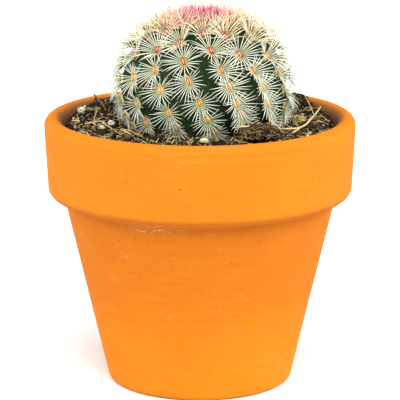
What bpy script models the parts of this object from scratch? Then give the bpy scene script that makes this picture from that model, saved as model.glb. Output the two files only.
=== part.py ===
"""Potted round cactus: a ribbed globe with comb-like spines, in peat, in a terracotta pot.

Units are metres, +Z is up. The origin is the centre of the pot's base, on the ground.
Azimuth 0 faces -Y and grows towards +X. A polar angle is counted from the top of the stem.
"""

from math import cos, pi, radians, sin

import bmesh
import bpy
from mathutils import Matrix, Vector, noise

# Pot
POT_HEIGHT = 0.0930
RIM_RADIUS = 0.0535
RIM_OUTER_ROUNDING = 0.0030
RIM_INNER_ROUNDING = 0.0033
COLLAR_FOOT_RADIUS = 0.0524
COLLAR_FOOT_HEIGHT = 0.0654
COLLAR_FOOT_ROUNDING = 0.0034
BODY_TOP_RADIUS = 0.0470
BASE_RADIUS = 0.0321
BASE_ROUNDING = 0.0024
FLOOR_THICKNESS = 0.0060
INNER_FOOT_RADIUS = 0.0275
INNER_FOOT_ROUNDING = 0.0030
DRAIN_RADIUS = 0.0070
POT_SEGMENTS = 48

# Stem
STEM_OFFSET_X = 0.0012
STEM_RADIUS = 0.0286
EQUATOR_HEIGHT = 0.1018
UPPER_HEIGHT = 0.0243
LOWER_HEIGHT = 0.0240
UPPER_ROUNDNESS = 2.35
LOWER_ROUNDNESS = 2.1
RIB_COUNT = 15
RIB_DEPTH = 0.0030
FIRST_RIB_AZIMUTH = -3.0
RIB_TWIST = 0.44
RIB_TWIST_GAIN = 0.0011
FACES_PER_RIB = 4
STEM_POLARS = (4.0, 10.0, 17.0, 23.0, 29.0, 35.0, 41.0, 47.0, 53.0, 59.0, 65.0, 71.0, 77.0, 83.0, 89.0, 95.0,
               101.0, 107.0, 113.0)
# The round, ribless foot under the peat and its root neck, as (radius, height).
BURIED_FOOT = ((0.0190, 0.0815), (0.0120, 0.0770), (0.0065, 0.0730), (0.0050, 0.0640))

# Areoles: the polar angle of areole j on a rib is FIRST + STEP * j - SHORTENING * j * j.
AREOLE_FIRST = 41.1
AREOLE_STEP = 18.6
AREOLE_SHORTENING = 0.95
RIB_STAGGER = (0.0, 0.44, 0.67, 0.0, 0.5, 0.0, 0.5, 0.0, 0.5, 0.0, 0.5, 0.0, 0.5, 0.02, 0.51)
ROW_TOP = 24.0
ROW_FOOT = 113.0
SPINE_REACH = 0.0042
SPINE_STAND_OFF = 0.0012
PAD_HEIGHT = 0.0019
STEPS_PER_AREOLE = 4
AREOLES_PER_ROW = 9
NOTCH_REACH = 0.62
NOTCH_HEIGHT = 0.65
TOOTH_HALF_WIDTH = 0.1

# Crown tuft
CROWN_EDGE = 21.0
CROWN_SEGMENTS = 12
CROWN_THICKNESS = 0.0010
CROWN_SPIKE = 0.0056
EDGE_SPIKE = 0.0022

# Peat
SOIL_EDGE_HEIGHT = 0.0881
SOIL_MOUND = 0.0014
SOIL_MOUND_WIDTH = 0.0160
SOIL_BANK = 0.0042
SOIL_BANK_FOOT = -0.0080
SOIL_BANK_RUN = 0.0420
SOIL_BANK_POWER = 1.4
SOIL_ROUGHNESS = 0.0005
SOIL_GRAIN = 220.0
SOIL_RINGS = (0.0440, 0.0390, 0.0350, 0.0312)
SOIL_SOCKET = ((0.0262, 0.0882), (0.0232, 0.0838))
SOIL_WAIST_HEIGHT = 0.0450

# Lumps
LUMP_DENT = 0.22
LUMP_DENT_PITCH = 1.4

# Every two pieces that touch keep this much air between them.
GAP = 0.0003

MILLIMETRE = 0.001


def material(name, colour, roughness):
    """A Principled material of one colour."""
    made = bpy.data.materials.new(name)
    made.use_nodes = True
    shader = made.node_tree.nodes["Principled BSDF"]
    shader.inputs["Base Color"].default_value = (*colour, 1.0)
    shader.inputs["Roughness"].default_value = roughness
    shader.inputs["Metallic"].default_value = 0.0
    return made


def add_object(name, mesh, look, smooth_angle=40.0):
    """One named object with its material, shaded smooth across shallow edges."""
    mesh.shade_smooth()
    mesh.set_sharp_from_angle(angle=radians(smooth_angle))
    mesh.materials.append(look)
    made = bpy.data.objects.new(name, mesh)
    bpy.context.collection.objects.link(made)
    return made


def mesh_of(name, points, faces):
    """A mesh with its faces turned outwards."""
    form = bmesh.new()
    corners = [form.verts.new(point) for point in points]
    for face in faces:
        form.faces.new([corners[i] for i in face])
    bmesh.ops.recalc_face_normals(form, faces=form.faces)
    mesh = bpy.data.meshes.new(name)
    form.to_mesh(mesh)
    form.free()
    return mesh


def arc(centre_r, centre_z, radius, start, end, steps):
    """Points (r, z) on a circular arc, angles in degrees from +r towards +z."""
    turn = [radians(start + (end - start) * i / steps) for i in range(steps + 1)]
    return [(centre_r + radius * cos(a), centre_z + radius * sin(a)) for a in turn]


def turned_ring(name, profile, segments):
    """A closed (r, z) profile that never meets the axis, turned round Z."""
    count = len(profile)
    points = []
    for i in range(segments):
        angle = 2.0 * pi * i / segments
        points += [Vector((r * cos(angle), r * sin(angle), z)) for r, z in profile]
    faces = []
    for i in range(segments):
        here = i * count
        there = (i + 1) % segments * count
        for j in range(count):
            after = (j + 1) % count
            faces.append((here + j, here + after, there + after, there + j))
    return mesh_of(name, points, faces)


def wrapped(name, top, rows, foot):
    """A closed skin: rows of points, each a ring, between a point at the top and one at the foot."""
    segments = len(rows[0])
    points = [top]
    for row in rows:
        points += row
    points.append(foot)
    last = len(points) - 1
    faces = []
    for i in range(segments):
        j = (i + 1) % segments
        faces.append((0, 1 + i, 1 + j))
        for k in range(len(rows) - 1):
            upper = 1 + k * segments
            lower = upper + segments
            faces.append((upper + i, lower + i, lower + j, upper + j))
        edge = last - segments
        faces.append((edge + j, edge + i, last))
    return mesh_of(name, points, faces)


# ---------------------------------------------------------------- pot


def inner_wall_radius(height):
    """The pot's inner wall is a straight taper from its foot to the rolled rim."""
    rim = RIM_RADIUS - RIM_OUTER_ROUNDING - RIM_INNER_ROUNDING
    rise = (height - FLOOR_THICKNESS) / (POT_HEIGHT - RIM_INNER_ROUNDING - FLOOR_THICKNESS)
    return INNER_FOOT_RADIUS + (rim - INNER_FOOT_RADIUS) * rise


def pot_profile():
    """Outside from the drain hole up to the rim, then down the inner wall."""
    crest = RIM_RADIUS - RIM_OUTER_ROUNDING
    wall_top = POT_HEIGHT - RIM_INNER_ROUNDING
    inner_foot_height = FLOOR_THICKNESS + INNER_FOOT_ROUNDING
    profile = [(DRAIN_RADIUS, FLOOR_THICKNESS), (DRAIN_RADIUS, 0.0)]
    profile += arc(BASE_RADIUS - BASE_ROUNDING, BASE_ROUNDING, BASE_ROUNDING, -90, -10, 3)
    profile.append((BODY_TOP_RADIUS, COLLAR_FOOT_HEIGHT))
    profile += arc(
        COLLAR_FOOT_RADIUS - COLLAR_FOOT_ROUNDING,
        COLLAR_FOOT_HEIGHT + COLLAR_FOOT_ROUNDING,
        COLLAR_FOOT_ROUNDING, -90, 0, 3,
    )
    profile += arc(crest, POT_HEIGHT - RIM_OUTER_ROUNDING, RIM_OUTER_ROUNDING, 0, 90, 4)
    profile += arc(crest, wall_top, RIM_INNER_ROUNDING, 90, 180, 4)[1:]
    profile.append((inner_wall_radius(inner_foot_height), inner_foot_height))
    profile.append((INNER_FOOT_RADIUS - INNER_FOOT_ROUNDING, FLOOR_THICKNESS))
    return profile


def build_pot(look):
    add_object("terracotta_pot", turned_ring("terracotta_pot", pot_profile(), POT_SEGMENTS), look)


# ---------------------------------------------------------------- stem


def rib_azimuth(rib, polar):
    """Azimuth in degrees of a rib's crest: the ribs lean towards +X as they go down."""
    turn = RIB_TWIST * (polar - 90.0) + RIB_TWIST_GAIN * (polar - 90.0) ** 2
    return FIRST_RIB_AZIMUTH + rib * 360.0 / RIB_COUNT + turn


def signed_power(value, exponent):
    return abs(value) ** exponent * (1.0 if value >= 0.0 else -1.0)


def stem_point(polar, azimuth):
    """A point on the ribbed globe: a superellipsoid whose radius dips between the ribs."""
    angle = radians(polar)
    height = UPPER_HEIGHT if polar < 90.0 else LOWER_HEIGHT
    power = 2.0 / (UPPER_ROUNDNESS if polar < 90.0 else LOWER_ROUNDNESS)
    out = STEM_RADIUS * signed_power(sin(angle), power)
    up = height * signed_power(cos(angle), power)
    wave = cos(RIB_COUNT * radians(azimuth - rib_azimuth(0, polar)))
    dip = 1.0 - RIB_DEPTH / STEM_RADIUS * (1.0 - wave) / 2.0 * sin(angle)
    turn = radians(azimuth)
    x = STEM_OFFSET_X + out * dip * sin(turn)
    return Vector((x, -out * dip * cos(turn), EQUATOR_HEIGHT + up * dip))


def stem_normal(polar, azimuth):
    small = 0.5
    down = stem_point(polar + small, azimuth) - stem_point(polar - small, azimuth)
    across = stem_point(polar, azimuth + small) - stem_point(polar, azimuth - small)
    return down.cross(across).normalized()


def stem_ring(radius, height, segments):
    rows = []
    for i in range(segments):
        turn = radians(rib_azimuth(0, STEM_POLARS[-1])) + 2.0 * pi * i / segments
        rows.append(Vector((STEM_OFFSET_X + radius * sin(turn), -radius * cos(turn), height)))
    return rows


def build_stem(look):
    segments = RIB_COUNT * FACES_PER_RIB
    rows = []
    for polar in STEM_POLARS:
        azimuths = [rib_azimuth(0, polar) + 360.0 * i / segments for i in range(segments)]
        rows.append([stem_point(polar, azimuth) for azimuth in azimuths])
    rows += [stem_ring(radius, height, segments) for radius, height in BURIED_FOOT]
    top = stem_point(0.0, 0.0)
    foot = Vector((STEM_OFFSET_X, 0.0, BURIED_FOOT[-1][1]))
    add_object("cactus_stem", wrapped("cactus_stem", top, rows, foot), look)


# ---------------------------------------------------------------- spines


def areole_polar(index):
    return AREOLE_FIRST + AREOLE_STEP * index - AREOLE_SHORTENING * index * index


def row_stations(rib):
    """Fractional areole indices along a rib, from the crown down to the peat."""
    first = RIB_STAGGER[rib] - 2.0
    stations = [first + i / STEPS_PER_AREOLE for i in range(AREOLES_PER_ROW * STEPS_PER_AREOLE)]
    return [s for s in stations if ROW_TOP <= areole_polar(s) <= ROW_FOOT]


def row_section(rib, station):
    """Left edge, raised middle, right edge and underside of a spine row at one station."""
    polar = areole_polar(station)
    crest = rib_azimuth(rib, polar)
    phase = (station - RIB_STAGGER[rib]) % 1.0
    on_pad = min(phase, 1.0 - phase) < TOOTH_HALF_WIDTH
    toothed = on_pad or abs(phase - 0.5) < TOOTH_HALF_WIDTH
    reach = SPINE_REACH * (1.0 if toothed else NOTCH_REACH) * sin(radians(polar))
    height = PAD_HEIGHT * (1.0 if on_pad else NOTCH_HEIGHT)
    radius = (stem_point(polar, crest) - Vector((STEM_OFFSET_X, 0.0, EQUATOR_HEIGHT))).xy.length
    sweep = reach / radius * 180.0 / pi
    edges = []
    for side in (-1.0, 1.0):
        azimuth = crest + side * sweep
        edges.append(stem_point(polar, azimuth) + stem_normal(polar, azimuth) * SPINE_STAND_OFF)
    base = stem_point(polar, crest)
    normal = stem_normal(polar, crest)
    return [edges[0], base + normal * height, edges[1], base + normal * GAP * 1.5]


def build_spine_row(rib, look):
    sections = [row_section(rib, station) for station in row_stations(rib)]
    points = [point for section in sections for point in section]
    faces = [(0, 1, 2, 3)]
    for i in range(len(sections) - 1):
        here = 4 * i
        for j in range(4):
            k = (j + 1) % 4
            faces.append((here + j, here + k, here + 4 + k, here + 4 + j))
    last = 4 * (len(sections) - 1)
    faces.append((last + 3, last + 2, last + 1, last))
    name = f"spine_row_{rib + 1:02d}"
    add_object(name, mesh_of(name, points, faces), look, 20.0)


def build_crown(look):
    """A cap over the top of the stem whose upper faces are drawn out into upright spikes."""
    rings = [CROWN_EDGE / 3.0, CROWN_EDGE * 2.0 / 3.0, CROWN_EDGE]

    def ring(polar, lift):
        turns = [360.0 * i / CROWN_SEGMENTS for i in range(CROWN_SEGMENTS)]
        return [stem_point(polar, a) + stem_normal(polar, a) * lift for a in turns]

    under = 3.0 * GAP
    upper = under + CROWN_THICKNESS
    apex = stem_point(0.0, 0.0)
    rows = [ring(polar, upper) for polar in rings]
    rows += [ring(polar, under) for polar in reversed(rings)]
    top = apex + Vector((0.0, 0.0, upper))
    foot = apex + Vector((0.0, 0.0, under))
    mesh = wrapped("crown_spines", top, rows, foot)
    form = bmesh.new()
    form.from_mesh(mesh)
    edge_height = max(point.z for point in rows[2])
    lifted = [face for face in form.faces if face.calc_center_median().z > edge_height]
    lifted = [face for face in lifted if face.normal.z > 0.0]
    reach = (rows[2][0] - apex).xy.length
    for face in lifted:
        out = (face.calc_center_median() - apex).xy.length / reach
        offset = CROWN_SPIKE + (EDGE_SPIKE - CROWN_SPIKE) * out
        bmesh.ops.poke(form, faces=[face], offset=offset, center_mode="MEAN")
    form.to_mesh(mesh)
    form.free()
    add_object("crown_spines", mesh, look, 20.0)


# ---------------------------------------------------------------- peat


def soil_height(x, y):
    """The peat is mounded round the stem, banked up towards the back, and crumbly."""
    out = Vector((x - STEM_OFFSET_X, y)).length
    mound = SOIL_MOUND * min(1.0, max(0.0, 1.0 - (out - STEM_RADIUS) / SOIL_MOUND_WIDTH))
    bank = SOIL_BANK * min(1.0, max(0.0, (y - SOIL_BANK_FOOT) / SOIL_BANK_RUN)) ** SOIL_BANK_POWER
    rough = SOIL_ROUGHNESS * noise.noise(Vector((x, y, 0.0)) * SOIL_GRAIN)
    return SOIL_EDGE_HEIGHT + mound + bank + rough


def build_soil(look):
    """Fills the pot to just under the rim, with a socket for the buried foot of the stem."""
    socket = list(SOIL_SOCKET)
    socket += [(radius + 2.0 * GAP, height - GAP) for radius, height in BURIED_FOOT]
    wall = [(INNER_FOOT_RADIUS - INNER_FOOT_ROUNDING - GAP, FLOOR_THICKNESS + GAP)]
    for height in (FLOOR_THICKNESS + INNER_FOOT_ROUNDING + 2.0 * GAP, SOIL_WAIST_HEIGHT):
        wall.append((inner_wall_radius(height) - GAP, height))
    surface = (inner_wall_radius(SOIL_EDGE_HEIGHT) - GAP, *SOIL_RINGS)
    angles = [2.0 * pi * i / POT_SEGMENTS for i in range(POT_SEGMENTS)]
    rows = []
    for radius, height in reversed(socket):
        rows.append([Vector((STEM_OFFSET_X + radius * cos(a), radius * sin(a), height)) for a in angles])
    for radius in reversed(surface):
        ring = [(radius * cos(a), radius * sin(a)) for a in angles]
        rows.append([Vector((x, y, soil_height(x, y))) for x, y in ring])
    for radius, height in reversed(wall):
        rows.append([Vector((radius * cos(a), radius * sin(a), height)) for a in angles])
    top = Vector((STEM_OFFSET_X, 0.0, BURIED_FOOT[-1][1] - GAP))
    foot = Vector((0.0, 0.0, FLOOR_THICKNESS + GAP))
    add_object("potting_soil", wrapped("potting_soil", top, rows, foot), look)


def build_lump(name, place, size, turn, seed, look):
    """A small rough lump: a ball squeezed to a size, dented by noise and turned. Millimetres."""
    form = bmesh.new()
    bmesh.ops.create_icosphere(form, subdivisions=2, radius=1.0)
    shift = Vector((seed * 7.3, seed * 3.1, seed * 5.7))
    for corner in form.verts:
        corner.co *= 1.0 + LUMP_DENT * noise.noise(corner.co * LUMP_DENT_PITCH + shift)
    scale = Matrix.Diagonal([side * MILLIMETRE / 2.0 for side in size]).to_4x4()
    yaw = Matrix.Rotation(radians(turn[0]), 4, "Z")
    pitch = Matrix.Rotation(radians(turn[1]), 4, "Y")
    move = Matrix.Translation(Vector(place) * MILLIMETRE)
    bmesh.ops.transform(form, matrix=move @ yaw @ pitch @ scale, verts=form.verts)
    mesh = bpy.data.meshes.new(name)
    form.to_mesh(mesh)
    form.free()
    add_object(name, mesh, look, 30.0)


def build_straw(name, paths, radius, look):
    """A dry stalk drawn through points in millimetres; a second path starts on the first one's last."""
    form = bmesh.new()
    joint = None
    for path in paths:
        previous = joint
        for point in path:
            corner = form.verts.new(Vector(point) * MILLIMETRE)
            if previous is not None:
                form.edges.new((previous, corner))
            previous = corner
        if joint is None:
            joint = previous
    mesh = bpy.data.meshes.new(name)
    form.to_mesh(mesh)
    form.free()
    made = add_object(name, mesh, look)
    skin = made.modifiers.new("Skin", "SKIN")
    skin.use_smooth_shade = True
    for corner in made.data.skin_vertices[0].data:
        corner.radius = (radius * MILLIMETRE, radius * MILLIMETRE)


def build_litter(looks):
    """What lies on the peat. Places, sizes and turns are in millimetres and degrees."""
    perlite = looks["perlite"]
    build_lump("perlite_granule_1", (-41.2, 12.9, 92.0), (3.0, 2.8, 2.6), (20, 0), 1, perlite)
    build_lump("perlite_granule_2", (-30.2, -6.0, 91.4), (3.0, 2.4, 2.0), (0, 10), 2, perlite)
    build_lump("perlite_granule_3", (-33.3, -9.7, 90.7), (2.4, 2.0, 1.6), (40, 0), 3, perlite)
    build_lump("pale_grit", (1.3, -32.4, 91.0), (3.2, 2.6, 2.2), (10, 0), 4, looks["grit"])
    peat = looks["peat"]
    build_lump("peat_clod_front", (20.8, -27.0, 92.4), (14.0, 7.0, 4.6), (38, 0), 5, peat)
    build_lump("peat_clod_back", (31.2, 25.0, 94.1), (8.4, 7.5, 2.8), (40, 0), 6, peat)
    bark = looks["bark"]
    build_lump("bark_chip_1", (-35.8, 24.6, 94.0), (6.0, 2.2, 1.2), (-50, -22), 7, bark)
    build_lump("bark_chip_2", (-32.0, 18.0, 93.1), (2.8, 2.4, 2.0), (30, 0), 8, bark)
    build_lump("bark_chip_3", (40.6, -8.6, 90.6), (4.6, 3.0, 1.4), (60, 8), 9, bark)
    straw = looks["straw"]
    fork = [[(42.1, 14.0, 93.0), (39.1, 2.9, 92.0), (34.7, -9.1, 90.9)],
            [(29.6, -12.0, 90.9)],
            [(31.1, -16.1, 90.6)]]
    build_straw("straw_forked", fork, 0.45, straw)
    simple = (
        ([(37.0, 26.2, 94.6), (38.5, 19.3, 93.0), (39.8, 11.3, 91.4)], 0.35),
        ([(15.4, -34.0, 90.6), (21.6, -32.8, 91.2), (27.4, -28.0, 90.8)], 0.35),
        ([(8.6, -37.4, 90.2), (12.6, -33.8, 90.7)], 0.30),
        ([(30.6, 6.0, 93.2), (32.4, -4.0, 91.4)], 0.35),
        ([(9.6, -31.2, 93.6), (14.0, -31.6, 94.8)], 0.40),
        ([(-36.0, 1.0, 91.2), (-33.0, -5.6, 91.1), (-30.8, -10.2, 90.8), (-27.4, -18.6, 90.5)], 0.40),
        ([(-28.0, -14.0, 90.9), (-23.4, -19.6, 91.1), (-19.6, -25.4, 90.8)], 0.35),
    )
    for number, (path, radius) in enumerate(simple, start=1):
        build_straw(f"straw_{number}", [path], radius, straw)


def main():
    for stale in list(bpy.data.objects):
        bpy.data.objects.remove(stale)
    looks = {
        "terracotta": material("terracotta", (0.80, 0.31, 0.07), 0.85),
        "peat": material("peat", (0.035, 0.022, 0.014), 0.95),
        "flesh": material("flesh", (0.020, 0.070, 0.020), 0.55),
        "spine": material("spine", (0.62, 0.62, 0.46), 0.50),
        "crown": material("crown", (0.70, 0.16, 0.22), 0.50),
        "perlite": material("perlite", (0.82, 0.80, 0.74), 0.90),
        "grit": material("grit", (0.70, 0.70, 0.36), 0.80),
        "bark": material("bark", (0.13, 0.075, 0.035), 0.90),
        "straw": material("straw", (0.62, 0.44, 0.16), 0.70),
    }
    build_pot(looks["terracotta"])
    build_soil(looks["peat"])
    build_stem(looks["flesh"])
    for rib in range(RIB_COUNT):
        build_spine_row(rib, looks["spine"])
    build_crown(looks["crown"])
    build_litter(looks)


main()
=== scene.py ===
"""The looks of the potted round cactus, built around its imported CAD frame. Metres, +Z up."""
from math import cos, pi, radians, sin, sqrt, tan

import bmesh
import bpy
import numpy as np
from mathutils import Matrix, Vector, noise


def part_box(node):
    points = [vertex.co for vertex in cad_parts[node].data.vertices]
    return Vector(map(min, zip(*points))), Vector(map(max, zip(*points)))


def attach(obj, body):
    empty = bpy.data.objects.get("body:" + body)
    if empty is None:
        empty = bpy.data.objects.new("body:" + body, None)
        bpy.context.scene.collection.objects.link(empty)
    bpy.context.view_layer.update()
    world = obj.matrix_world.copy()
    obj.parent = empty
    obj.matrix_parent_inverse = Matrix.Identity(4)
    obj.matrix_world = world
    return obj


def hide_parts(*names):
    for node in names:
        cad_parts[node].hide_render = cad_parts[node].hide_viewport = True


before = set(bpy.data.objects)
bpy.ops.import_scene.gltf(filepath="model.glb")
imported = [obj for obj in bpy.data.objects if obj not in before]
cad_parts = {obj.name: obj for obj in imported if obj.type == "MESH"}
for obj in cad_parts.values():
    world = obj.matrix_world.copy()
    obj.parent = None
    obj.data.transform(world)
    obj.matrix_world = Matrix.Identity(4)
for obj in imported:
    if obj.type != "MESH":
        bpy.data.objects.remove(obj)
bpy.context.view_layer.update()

MM = 0.001

# ------------------------ dimensions, most of them as in the CAD model

POT_LOW, POT_HIGH = (Vector(corner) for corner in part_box("terracotta_pot"))
POT_HEIGHT = POT_HIGH.z
RIM_RADIUS = (POT_HIGH.x - POT_LOW.x) / 2.0
RIM_OUTER_ROUNDING = 3.0 * MM
RIM_INNER_ROUNDING = 3.3 * MM
GROOVE_HEIGHT = 89.6 * MM
COLLAR_FOOT_RADIUS = 52.4 * MM
COLLAR_FOOT_HEIGHT = 65.4 * MM
COLLAR_FOOT_ROUNDING = 3.4 * MM
BODY_TOP_RADIUS = 47.0 * MM
BASE_RADIUS = 32.1 * MM
BASE_ROUNDING = 2.4 * MM
FLOOR_THICKNESS = 6.0 * MM
INNER_FOOT_RADIUS = 27.5 * MM
INNER_FOOT_ROUNDING = 3.0 * MM
DRAIN_RADIUS = 7.0 * MM

STEM_X = 1.2 * MM
STEM_RADIUS = 28.6 * MM
EQUATOR_HEIGHT = 101.8 * MM
UPPER_HEIGHT = 24.3 * MM
LOWER_HEIGHT = 24.0 * MM
UPPER_ROUNDNESS = 2.35
LOWER_ROUNDNESS = 2.1
RIBS = 15
RIB_DEPTH = 3.0 * MM
# The CAD model has -3.0 here, and 0.95 for every rib in RIB_SHORTENING.
FIRST_RIB_AZIMUTH = -2.3
RIB_TWIST = 0.44
RIB_TWIST_GAIN = 0.0011
BUMP_HEIGHT = 0.45 * MM
BURIED_FOOT = ((19.0 * MM, 81.5 * MM), (12.0 * MM, 77.0 * MM), (6.5 * MM, 73.0 * MM), (5.0 * MM, 64.0 * MM))

# Polar angles of the areoles of a rib: the first, the step to the next, and how fast the steps shorten.
AREOLE_FIRST = 41.1
AREOLE_STEP = 18.6
RIB_SHORTENING = (0.95, 1.30, 1.30) + (0.95,) * 10 + (0.55, 0.85)
RIB_STAGGER = (0.0, 0.44, 0.67, 0.0, 0.5, 0.0, 0.5, 0.0, 0.5, 0.0, 0.5, 0.0, 0.5, 0.02, 0.51)

SOIL_EDGE_HEIGHT = 88.1 * MM
SOIL_MOUND = 1.4 * MM
SOIL_MOUND_REACH = 16.0 * MM
SOIL_BANK = 4.2 * MM
SOIL_BANK_START = 8.0 * MM
SOIL_BANK_RUN = 42.0 * MM
SOIL_BANK_POWER = 1.4
AIR = 0.3 * MM


# ------------------------ nodes


def new_look(name, roughness, **sockets):
    """A Principled material, and its node tree and shader. Sockets are set by name, _ for a space."""
    look = bpy.data.materials.new(name)
    look.use_nodes = True
    shader = look.node_tree.nodes["Principled BSDF"]
    shader.inputs["Roughness"].default_value = roughness
    for socket, value in sockets.items():
        shader.inputs[socket.replace("_", " ")].default_value = value
    return look, look.node_tree, shader


def add_node(tree, kind, inputs=None, **settings):
    """A node whose inputs are given as values or as the outputs that feed them."""
    made = tree.nodes.new(kind)
    for name, value in settings.items():
        setattr(made, name, value)
    for name, value in (inputs or {}).items():
        if isinstance(value, bpy.types.NodeSocket):
            tree.links.new(value, made.inputs[name])
        else:
            made.inputs[name].default_value = value
    return made


def ramp(tree, factor, stops):
    """A colour ramp through (position, colour) stops."""
    made = add_node(tree, "ShaderNodeValToRGB", {"Fac": factor})
    points = made.color_ramp.elements
    while len(points) < len(stops):
        points.new(0.5)
    for point, (position, colour) in zip(points, stops):
        point.position = position
        point.color = (*colour, 1.0)
    return made.outputs["Color"]


def grey(value):
    return (value, value, value)


def fade(tree, factor, low, high, start=0.0, end=1.0):
    """Grey that goes from start at low to end at high."""
    return ramp(tree, factor, [(low, grey(start)), (high, grey(end))])


def mix(tree, factor, first, second, blend="MIX"):
    made = add_node(tree, "ShaderNodeMix", data_type="RGBA", blend_type=blend)
    for index, value in ((0, factor), (6, first), (7, second)):
        if isinstance(value, bpy.types.NodeSocket):
            tree.links.new(value, made.inputs[index])
        elif index == 0:
            made.inputs[index].default_value = value
        else:
            made.inputs[index].default_value = (*value, 1.0)
    return made.outputs[2]


def multiply(tree, first, second):
    return mix(tree, 1.0, first, second, "MULTIPLY")


def noise_at(tree, place, scale, detail=3.0, roughness=0.5, distortion=0.0):
    inputs = {"Vector": place, "Scale": scale, "Detail": detail, "Roughness": roughness}
    inputs["Distortion"] = distortion
    return add_node(tree, "ShaderNodeTexNoise", inputs).outputs["Fac"]


def object_place(tree, stretch=(1.0, 1.0, 1.0)):
    coordinates = add_node(tree, "ShaderNodeTexCoord").outputs["Object"]
    if stretch == (1.0, 1.0, 1.0):
        return coordinates
    return add_node(tree, "ShaderNodeMapping", {"Vector": coordinates, "Scale": stretch}).outputs["Vector"]


def height_of(tree, place):
    return add_node(tree, "ShaderNodeSeparateXYZ", {"Vector": place}).outputs["Z"]


def vector_math(tree, operation, *values):
    """The result of a vector operation; a length is a value, the others are vectors."""
    made = add_node(tree, "ShaderNodeVectorMath", dict(enumerate(values)), operation=operation)
    return made.outputs["Value" if operation == "LENGTH" else "Vector"]


def value_math(tree, operation, *values):
    return add_node(tree, "ShaderNodeMath", dict(enumerate(values)), operation=operation).outputs["Value"]


def share_between(tree, value, low, high):
    """0 at low and 1 at high."""
    inputs = {"Value": value, "From Min": low, "From Max": high}
    return add_node(tree, "ShaderNodeMapRange", inputs).outputs["Result"]


def strand_axes(tree):
    """u runs from a strand's foot to its tip; v says which kind of strand it is."""
    place = add_node(tree, "ShaderNodeUVMap", uv_map="OFBake").outputs["UV"]
    parts = add_node(tree, "ShaderNodeSeparateXYZ", {"Vector": place})
    return parts.outputs["X"], parts.outputs["Y"]


def paint(tree, shader, tone):
    tree.links.new(tone, shader.inputs["Base Color"])


def bump(tree, shader, height, distance, strength=1.0):
    made = add_node(tree, "ShaderNodeBump", {"Height": height, "Distance": distance, "Strength": strength})
    tree.links.new(made.outputs["Normal"], shader.inputs["Normal"])


# ------------------------ looks

# Share of the way up to the top of the collar's rounded foot, and the painted light and shade multiplied into
# the clay there: lighter at the base, darker up the body, and a painted shadow under the collar.
PAINTED_SHADING_TINTS = ((0.0, (1.0, 1.08, 0.85)), (0.28, (0.97, 0.98, 0.80)), (0.58, (0.86, 0.81, 0.80)),
               (0.885, (0.84, 0.81, 0.88)), (0.935, (0.74, 0.70, 0.86)), (0.972, (0.72, 0.68, 0.86)),
               (0.995, grey(0.98)))

# Middles and radii in mm, and strength, of the chalky rubbed spots on the outside.
CHALK_SPOTS = (
    ((-16.0, -44.5, 63.2), (15.0, 12.0, 2.2), 0.85), ((-29.0, -29.0, 43.0), (6.0, 7.0, 2.6), 0.40),
    ((-25.6, -36.0, 52.0), (2.6, 6.0, 1.4), 0.40), ((14.3, -38.0, 38.0), (4.4, 8.0, 2.6), 0.40),
    ((-10.0, -39.0, 42.0), (4.0, 8.0, 1.4), 0.32), ((-9.3, -37.0, 31.5), (2.6, 8.0, 1.4), 0.34),
    ((27.0, 30.0, 48.0), (9.0, 9.0, 4.0), 0.50), ((4.0, -44.0, 62.2), (4.0, 8.0, 1.0), 0.50),
)

# The damp stain and painted shade on the inner wall: how far it wanders, and its depths at the start and at
# full strength.
DAMP_SHADE_BLOT = 1.2 * MM
DAMP_SHADE_START = 2.7 * MM
DAMP_SHADE_END = 0.1 * MM


def clay_tone(tree, place, streaks, grain):
    """Orange clay, clouded, streaked by the wheel and sandy."""
    clouds = noise_at(tree, place, 38.0, 4.0, 0.55)
    clouded = ramp(tree, clouds, [(0.30, (0.62, 0.170, 0.008)), (0.52, (0.66, 0.188, 0.009)),
                                  (0.74, (0.71, 0.208, 0.012))])
    thrown = ramp(tree, streaks, [(0.35, (0.58, 0.152, 0.007)), (0.65, (0.71, 0.214, 0.014))])
    sandy = ramp(tree, grain, [(0.3, (0.55, 0.14, 0.008)), (0.7, (0.82, 0.28, 0.030))])
    return mix(tree, 0.22, mix(tree, 0.35, clouded, thrown), sandy)


def pit_share(tree, place):
    """Small pits, closer together in some places than in others."""
    cells = add_node(tree, "ShaderNodeTexVoronoi", {"Vector": place, "Scale": 430.0, "Randomness": 1.0})
    pits = fade(tree, cells.outputs["Distance"], 0.06, 0.14, 0.9, 0.0)
    return multiply(tree, pits, fade(tree, noise_at(tree, place, 90.0, 2.0), 0.49, 0.62))


def scuff_share(tree, place):
    """Faint level scuffs here and there."""
    rubbed = object_place(tree, (1.0, 1.0, 5.0))
    lines = fade(tree, noise_at(tree, rubbed, 420.0, 3.0, 0.65, 0.4), 0.60, 0.70)
    return multiply(tree, lines, fade(tree, noise_at(tree, place, 46.0, 2.0), 0.62, 0.78, 0.0, 0.8))


def chalk_share(tree, place):
    """Short level streaks of chalk inside a few spots."""
    level = object_place(tree, (1.0, 1.0, 8.0))
    lines = fade(tree, noise_at(tree, level, 420.0, 3.0, 0.7, 0.4), 0.53, 0.64)
    inside = grey(0.0)
    for middle, reach, strength in CHALK_SPOTS:
        moved = vector_math(tree, "SUBTRACT", place, [value * MM for value in middle])
        far = vector_math(tree, "LENGTH", vector_math(tree, "DIVIDE", moved, [value * MM for value in reach]))
        inside = mix(tree, 1.0, inside, fade(tree, far, 0.25, 1.0, strength, 0.0), "LIGHTEN")
    return multiply(tree, lines, inside)


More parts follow.
